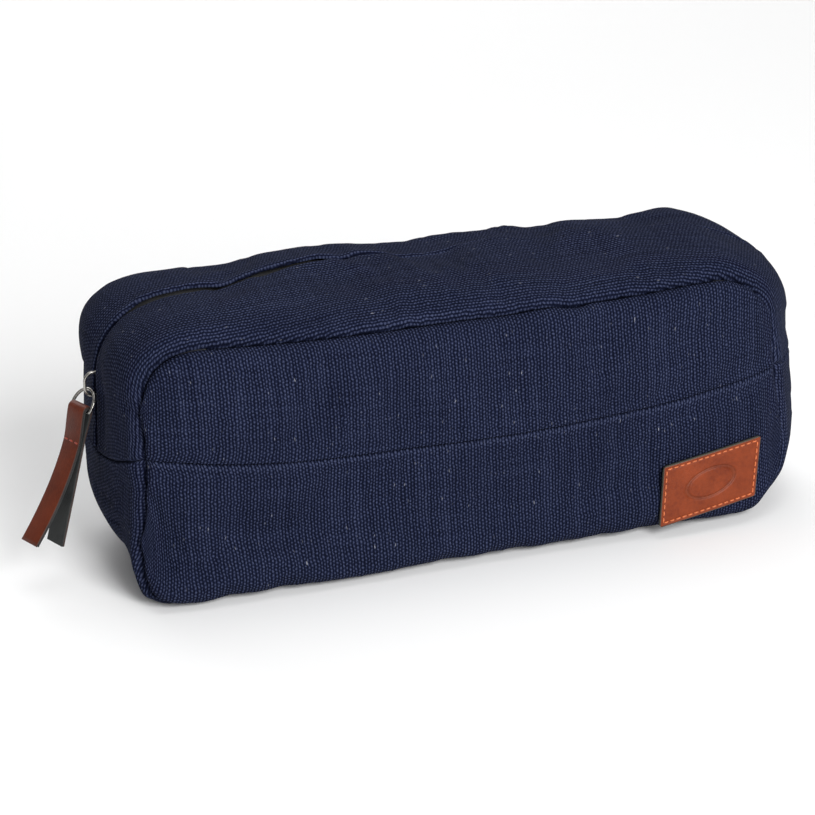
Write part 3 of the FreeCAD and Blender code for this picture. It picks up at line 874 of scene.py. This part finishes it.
# The two halves of the front and back panels, with their linings
for side, mouth, _, sign in SIDES:
    for level, rows in (("upper", UPPER_ROWS), ("lower", LOWER_ROWS)):
        upper = level == "upper"
        grid = grids[f"{side}_{level}"]
        rows_at = fine_places(rows, PANEL_CELL)
        cols_at = fine_cols(grid)
        outer = fine(grid, rows_at, cols_at)
        uv = fine(cloth_uv(grid, True), rows_at, cols_at)
        face = np.array([0.0, float(sign), 0.0])
        rim = unit(sample(seam_ways(upper, False), 0, cols_at) + face)[None]
        # The fourth value of each roll is how strongly a painted highlight lightens the yarns along that fold
        rolls = [(0, False, WAIST_ROLL, 0.1 if upper else 1.0, face), (0, True, SEAM_ROLL, 0.2, rim),
                 (1, False, SEAM_ROLL, 0.2, unit(face + (-1, 0, 0))),
                 (1, True, SEAM_ROLL, 0.2, unit(face + (1, 0, 0)))]
        body = mouth if upper else "base"
        cloth_piece(f"{side}_panel_{level}", outer, uv, rolls, 5 + 3 * upper + 9 * (side == "back"), body)
        line_inside(f"{side}_lining_{level}", outer, uv, INSET, INSET + 4, body)

# The bottom gusset and its lining
band = grids["band_lower"]
rows_at = fine_places(ACROSS, CELL)
cols_at = fine_cols(band)
outer = fine(band, rows_at, cols_at)
uv = fine(cloth_uv(band, False), rows_at, cols_at)
ways = sample(seam_ways(False, True), 0, cols_at)
# The fourth value of each roll is how strongly a painted highlight lightens the yarns along that fold
rolls = [(0, False, SEAM_ROLL, 0.3, unit(ways + (0, -1, 0))[None]),
         (0, True, SEAM_ROLL, 0.3, unit(ways + (0, 1, 0))[None]),
         (1, False, WAIST_ROLL, 0.5, LEFT), (1, True, WAIST_ROLL, 0.5, -LEFT)]
cloth_piece("bottom_gusset", outer, uv, rolls, 31, "base")
line_inside("bottom_gusset_lining", outer, uv, INSET, INSET, "base")

# The two halves of the zip gusset, with the zip's tapes and coils
band = grids["band_upper"]
cols_at = fine_cols(band)
station = sample(band, 1, cols_at)  # whole rows across, fine along
station_uv = sample(cloth_uv(band, False), 1, cols_at)
zip_line = station[ZIP_COL]
zip_run = np.concatenate([[0], np.cumsum(np.linalg.norm(np.diff(zip_line, axis=0), axis=1))])
zip_x = zip_line[:, 0]
on_top = smooth((zip_line[:, 2] - 0.085) / 0.015)
gap = (GAP + SLIDER_GAP * smooth((zip_x + 0.132) / 0.02) * (1 - 0.25 * smooth((zip_x + 0.092) / 0.02))
       * (1 - smooth((zip_x + 0.072) / 0.06)) * on_top
       - 1.5 * smooth((zip_x + 0.03) / 0.03)) * MM
n = normals(station) * (1 if outward(station) else -1)
line_n = n[ZIP_COL]
aside_way = unit(np.gradient(station, axis=0)[ZIP_COL])
turns = int((zip_run[-1] - 2 * ZIP_END) / COIL_PITCH)
coil_at = np.linspace(ZIP_END, zip_run[-1] - ZIP_END, turns * COIL_STEPS + 1)
centre, up, aside = (np.stack([np.interp(coil_at, zip_run, v[:, k]) for k in range(3)], -1)
                     for v in (zip_line, line_n, aside_way))
share = fine_places(ZIP_COL, CELL) / ZIP_COL  # from the seam to the hem
ways = sample(seam_ways(True, True), 0, cols_at)
for side, mouth, _, sign in SIDES:
    front = side == "front"
    made = []
    made_uv = []
    for c in range(station.shape[1]):
        reach = ZIP_COL - gap[c] / 2 / CELL
        rows_at = share * reach if front else ACROSS - share[::-1] * reach
        made.append(sample(station[:, c], 0, rows_at))
        made_uv.append(sample(station_uv[:, c], 0, rows_at))
    outer = np.stack(made, 1)
    uv = np.stack(made_uv, 1)
    if front:  # its hem stands proud over the back's
        proud = smooth((zip_x + 0.005) / 0.05) * smooth((0.128 - zip_x) / 0.03) * on_top
        outer[..., 2] += 2.2 * MM * proud[None, :] * smooth((share[:, None] - 0.35) / 0.6)
    # The hem's fold gets a painted highlight, where light catches the folded edge beside the zip
    rolls = [(0, front, HEM_ROLL, 0.55, None),
             (0, not front, SEAM_ROLL, 0.3, unit(ways + (0, sign, 0))[None]),
             (1, False, WAIST_ROLL, 0.1, LEFT), (1, True, WAIST_ROLL, 0.1, -LEFT)]
    cloth_piece(f"zip_gusset_{side}", outer, uv, rolls, 41 + sign, mouth)

    tape_rows = ZIP_COL + sign * np.linspace(2.0 * MM, 13.5 * MM, 6) / CELL
    tape_rows = tape_rows[::sign]
    tape_grid = sample(station, 0, tape_rows) - sample(n, 0, tape_rows) * TAPE_DEPTH
    tape_uv = sample(station_uv, 0, tape_rows)
    tape = cloth_mesh(f"zip_tape_{side}_cloth", tape_grid[:, 3:-3], tape_uv[:, 3:-3], 0.5 * MM,
                      not outward(tape_grid))
    follow(dress(tape, TAPE_FINISH), mouth, f"zip_tape_{side}")

    turn = np.arange(len(coil_at)) / COIL_STEPS * 2 * math.pi + (math.pi if front else 0)
    swing = np.cos(turn)[:, None]
    rise = np.sin(turn)[:, None]
    helix = centre - up * (COIL_DEPTH - 0.45 * rise) * MM + aside * sign * (1.32 - 0.35 * swing) * MM
    coil = sweep(f"zip_coil_{side}_teeth", helix, up, round_section(0.23 * MM, 5))
    follow(dress(coil, COIL_FINISH), mouth, f"zip_coil_{side}")

# Seam bindings inside, along the front and back seams
for side, mouth, row, _ in SIDES:
    for level in ("upper", "lower"):
        band = grids[f"band_{level}"]
        seam = sample(band[row], 0, np.linspace(0, band.shape[1] - 1, (band.shape[1] - 1) * 2 + 1))
        inside = np.array([0, 0, HEIGHT / 2]) - seam
        inside[:, 0] = np.where(np.abs(seam[:, 0]) > ARC_X, -np.sign(seam[:, 0]) * 0.05, 0)
        inside = unit(inside)
        path = seam + inside * 4.8 * MM
        strip = sweep(f"{side}_seam_binding_{level}_cloth", path[2:-2], inside[2:-2],
                      slab_section(4.6 * MM, 2.4 * MM, 1.0 * MM))
        follow(dress(strip, BINDING_FINISH), mouth if level == "upper" else "base",
               f"{side}_seam_binding_{level}")


# ---- leather label

LABEL_CORNERS = {"tl": (75.8, 28.6), "tr": (119.0, 34.8), "br": (115.2, 11.0), "bl": (72.8, 4.6)}
LABEL_CORNERS = {k: np.array(v) * MM for k, v in LABEL_CORNERS.items()}
LABEL_THICK = 1.2 * MM
LABEL_WIDE, LABEL_TALL = 43.0, 24.0  # mm, like all the lengths in build_label
LABEL_COLS, LABEL_ROWS = 150, 84
LABEL_ROUND = 1.6
STITCH_INSET = 1.55
STITCH_LENGTH = 2.0


def label_plane(s, t):
    """Place in x and z of a point at shares s along and t up the label."""
    c = LABEL_CORNERS
    low = c["bl"] + (c["br"] - c["bl"]) * s[..., None]
    high = c["tl"] + (c["tr"] - c["tl"]) * s[..., None]
    return low + (high - low) * t[..., None]


front_mesh = bpy.data.objects["front_panel_lower_cloth"].data
front_tree = BVHTree.FromPolygons([v.co for v in front_mesh.vertices],
                                  [p.vertices for p in front_mesh.polygons])


def fit_terms(x, z):
    """Terms of a gently curved sheet.  The curved ones are scaled down and held back, as leather is stiff."""
    x = (x - 0.10) / 0.02
    z = (z - 0.016) / 0.012
    return np.stack([np.ones_like(x), x, z, 0.15 * x * x, 0.3 * z * z], -1)


s_at, t_at = np.meshgrid(np.linspace(0.0, 1.0, 22), np.linspace(0.0, 1.0, 14))
probe = label_plane(s_at, t_at).reshape(-1, 2)
hits = [(p[0], p[1], front_tree.ray_cast(Vector((p[0], -0.2, p[1])), Vector((0, 1, 0)))[0]) for p in probe]
hits = np.array([(x, z, h.y) for x, z, h in hits if h is not None and z > 6 * MM])
fitted = fit_terms(hits[:, 0], hits[:, 1])
terms = np.linalg.solve(fitted.T @ fitted + 2.0 * np.diag([0, 0, 0, 1, 1]), fitted.T @ hits[:, 2])
left_over = hits[:, 2] - fit_terms(hits[:, 0], hits[:, 1]) @ terms
label_lift = -float(left_over.min()) + 0.15 * MM


def label_y(x, z):
    """The label's back face, a stiff smooth sheet just clear of the cloth."""
    return fit_terms(x, z) @ terms - label_lift


def motif(x, y):
    """Depth share of the pressed mark: one plain oval line, with nothing inside it."""
    oval = np.hypot(x / 10.5, y / 5.6)
    return smooth(1.5 - np.abs(oval - 1.0) / 0.075)


def build_label():
    u = (np.linspace(0, 1, LABEL_COLS + 1) - 0.5) * LABEL_WIDE
    v = (np.linspace(0, 1, LABEL_ROWS + 1) - 0.5) * LABEL_TALL
    uu, vv = np.meshgrid(u, v)
    inner_u = LABEL_WIDE / 2 - LABEL_ROUND
    inner_v = LABEL_TALL / 2 - LABEL_ROUND
    over_u = np.clip(np.abs(uu) - inner_u, 0, None)
    over_v = np.clip(np.abs(vv) - inner_v, 0, None)
    reach = np.hypot(over_u, over_v)
    pull = np.where(reach > LABEL_ROUND, LABEL_ROUND / np.maximum(reach, 1e-9), 1.0)
    px = np.sign(uu) * (np.minimum(np.abs(uu), inner_u) + over_u * pull)
    py = np.sign(vv) * (np.minimum(np.abs(vv), inner_v) + over_v * pull)
    near_edge = np.minimum(LABEL_WIDE / 2 - np.abs(px), LABEL_TALL / 2 - np.abs(py))
    place = label_plane(px / LABEL_WIDE + 0.5, py / LABEL_TALL + 0.5)
    grain = wave(np.stack([px, py], -1), 6.0, 3) * 0.08
    pressed = motif(px, py)
    height = 1 - 0.42 * pressed + grain * 0.3
    rounding = 0.35 * (1 - np.sqrt(np.clip(1 - np.clip(1 - near_edge / 0.5, 0, 1) ** 2, 0, 1)))
    trough = 0.12 * np.exp(-((near_edge - STITCH_INSET) / 0.5) ** 2)
    back = np.stack([place[..., 0], label_y(place[..., 0], place[..., 1]), place[..., 1]], -1)
    face = back.copy()
    face[..., 1] -= LABEL_THICK * height - (rounding + trough) * MM
    piece = cloth_mesh("label_leather_patch", face, np.stack([px, py], -1) * MM, 0.0, not outward(face), back)
    rim = smooth(1.6 - near_edge / 0.4)
    mark_edge(piece, np.concatenate([np.maximum(rim, pressed * 0.12).reshape(-1), np.ones(rim.size)]))
    dress(piece, LABEL_FINISH)
    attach(piece, "base")
    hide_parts("label")

    def spot(a, b):
        p = label_plane(np.array(a / LABEL_WIDE + 0.5), np.array(b / LABEL_TALL + 0.5))
        y0 = float(label_y(np.array(p[0]), np.array(p[1]))) - LABEL_THICK + 0.02 * MM
        return np.array([p[0], y0, p[1]])

    runs = []
    top = LABEL_TALL / 2 - STITCH_INSET
    far = LABEL_WIDE / 2 - STITCH_INSET
    for k in range(15):
        a = -far + 0.33 + k * 2.66
        for b in (-top, top):
            runs.append((spot(a, b), spot(a + STITCH_LENGTH, b + 0.05), (0, -1, 0)))
    for k in range(8):
        b = -top + 0.15 + k * 2.61
        for a in (-far, far):
            runs.append((spot(a, b), spot(a, b + STITCH_LENGTH), (0, -1, 0)))
    stitches = threads("label_stitches", runs, 0.33 * MM)
    dress(stitches, THREAD_FINISH)
    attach(stitches, "base")
    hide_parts("label_stitching")


build_label()


# ---- zip pull

pull = joints["strap_swing"]
BAR = np.array(pull["pos_m"])
ACROSS_WAY = np.array(pull["axis"]) / np.linalg.norm(pull["axis"])
OUT_WAY = np.array([-ACROSS_WAY[1], ACROSS_WAY[0], 0.0])
STRAP_TILT = math.radians(16)
STRAP_LENGTH = 53.0 * MM
STRAP_SPREAD = 11.0 * MM  # how far the front leg's end stands out
STRAP_CLOSED = 12.5 * MM  # the legs lie together this far below the bar
DOWN = OUT_WAY * math.sin(STRAP_TILT) - np.array([0, 0, 1]) * math.cos(STRAP_TILT)
SIDE_OUT = OUT_WAY * math.cos(STRAP_TILT) + np.array([0, 0, 1]) * math.sin(STRAP_TILT)


def strap_path(radius, low):
    """Centre line of a strip folded over the ring's bar, from the front leg's end to the back leg's."""
    t = np.linspace(0, 1, 30)
    front = []
    for k in t:
        d = STRAP_LENGTH * (1 - k)
        if d > STRAP_CLOSED:
            far = (d - STRAP_CLOSED) / (STRAP_LENGTH - STRAP_CLOSED)
            a = low + STRAP_SPREAD * (0.30 * far + 0.70 * far ** 1.9)
        else:
            a = low + (radius - low) * (1 - smooth(d / STRAP_CLOSED))
        front.append((a, d))
    arc = [(radius * math.cos(a), -radius * math.sin(a)) for a in np.linspace(0, math.pi, 11)[1:-1]]
    back = [(-(low + (radius - low) * (1 - smooth(d / STRAP_CLOSED)))
             + 0.8 * MM * max(0, (d - STRAP_CLOSED) / STRAP_LENGTH), d) for d in STRAP_LENGTH * t]
    flat = np.array(front + arc + back)
    return BAR + SIDE_OUT * flat[:, :1] + DOWN * flat[:, 1:]


def strap_layer(name, radius, low, thick, width, finish, node, cut):
    """One of the pull's two layers.  cut is how far its sides show the cut edge's colour."""
    path = strap_path(radius, low)
    section = slab_section(width, thick, thick * 0.42, 4)
    wobble = 1 + 0.012 * np.sin(np.linspace(0, 17, len(path)))[:, None]
    sections = np.stack([section[None, :, 0] * wobble,
                         np.broadcast_to(section[:, 1], (len(path), len(section)))], -1)
    piece = sweep(name, path, ACROSS_WAY, sections)
    mark_edge(piece, np.tile(np.where(np.abs(section[:, 0]) > width / 2 - thick * 0.2, cut, 0.0), len(path)))
    dress(piece, finish)
    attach(piece, "strap")
    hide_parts(node)


strap_layer("strap_leather_strip", 1.95 * MM, 1.15 * MM, 0.8 * MM, 9.9 * MM, STRAP_FINISH,
            "pull_strap_leather", 0.85)
strap_layer("strap_backing_strip", 1.25 * MM, 0.45 * MM, 0.6 * MM, 10.2 * MM, BACKING_FINISH,
            "pull_strap_backing", 0.0)
stitch_runs = []
for k in range(3):
    a = (-3.3 + 3.3 * k) * MM
    here = BAR + SIDE_OUT * 1.58 * MM + DOWN * STRAP_CLOSED + ACROSS_WAY * a
    stitch_runs.append((here - ACROSS_WAY * 1.2 * MM, here + ACROSS_WAY * 1.2 * MM, SIDE_OUT))
strap_thread = threads("strap_stitches", stitch_runs, 0.34 * MM)
dress(strap_thread, thread_finish("strap_thread", (0.36, 0.045, 0.02)))
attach(strap_thread, "strap")
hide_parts("pull_strap_stitching")

for name in ("zip_slider_body", "zip_slider_bail", "pull_ring", "zip_bottom_stop", "zip_top_stop_front",
             "zip_top_stop_back"):
    node = frame["nodes"][name]
    node.data.materials.clear()
    node.data.materials.append(NICKEL_FINISH)
    for p in node.data.polygons:
        p.use_smooth = True


# ---- camera, floor and light

CAMERA_AT = (-0.3763, -1.0361, 0.4833)
yaw, pitch, roll = (math.radians(a) for a in (-19.35, 21.64, -0.56))
cam_data = bpy.data.cameras.new("camera")
cam_data.lens = 132.5
cam_data.sensor_width = 36.0
cam_data.clip_start = 0.05
cam_data.clip_end = 20.0
camera = linked("camera", cam_data)
fwd = Vector((-math.sin(yaw) * math.cos(pitch), math.cos(yaw) * math.cos(pitch), -math.sin(pitch)))
flat_right = fwd.cross(Vector((0, 0, 1))).normalized()
flat_up = flat_right.cross(fwd)
cam_right = flat_right * math.cos(roll) + flat_up * math.sin(roll)
cam_up = flat_up * math.cos(roll) - flat_right * math.sin(roll)
camera.matrix_world = Matrix.Translation(CAMERA_AT) @ Matrix((cam_right, cam_up, -fwd)).transposed().to_4x4()
bpy.context.scene.camera = camera

floor_mesh = bpy.data.meshes.new("floor")
floor_mesh.from_pydata([(-4, -4, 0), (4, -4, 0), (4, 4, 0), (-4, 4, 0)], [], [(0, 1, 2, 3)])
floor_mesh.update()
floor = linked("floor", floor_mesh)
floor.location.z = -0.4 * MM
floor_finish = Finish("floor", 0.9)
floor_finish.colour((0.92, 0.92, 0.92))
floor_mesh.materials.append(floor_finish.material)


def area_light(name, at, target, size, power):
    data = bpy.data.lights.new(name, "AREA")
    data.shape = "DISK"
    data.size = size
    data.energy = power
    lamp = linked(name, data)
    lamp.location = at
    lamp.rotation_euler = (Vector(target) - Vector(at)).to_track_quat("-Z", "Y").to_euler()


area_light("key", (0.22, -1.42, 0.85), (0, 0, 0.05), 0.9, 31.0)
area_light("top", (0.15, 0.3, 1.7), (0, 0.1, 0.0), 1.6, 9.5)
area_light("wash", (0.0, 2.6, 1.5), (0, 2.6, 0), 2.4, 45.0)
world = bpy.data.worlds.new("studio")
world.use_nodes = True
sky = world.node_tree.nodes["Background"]
sky.inputs["Color"].default_value = (1.0, 1.0, 1.0, 1.0)
sky.inputs["Strength"].default_value = 0.28
bpy.context.scene.world = world
bpy.context.scene.view_settings.view_transform = "Standard"
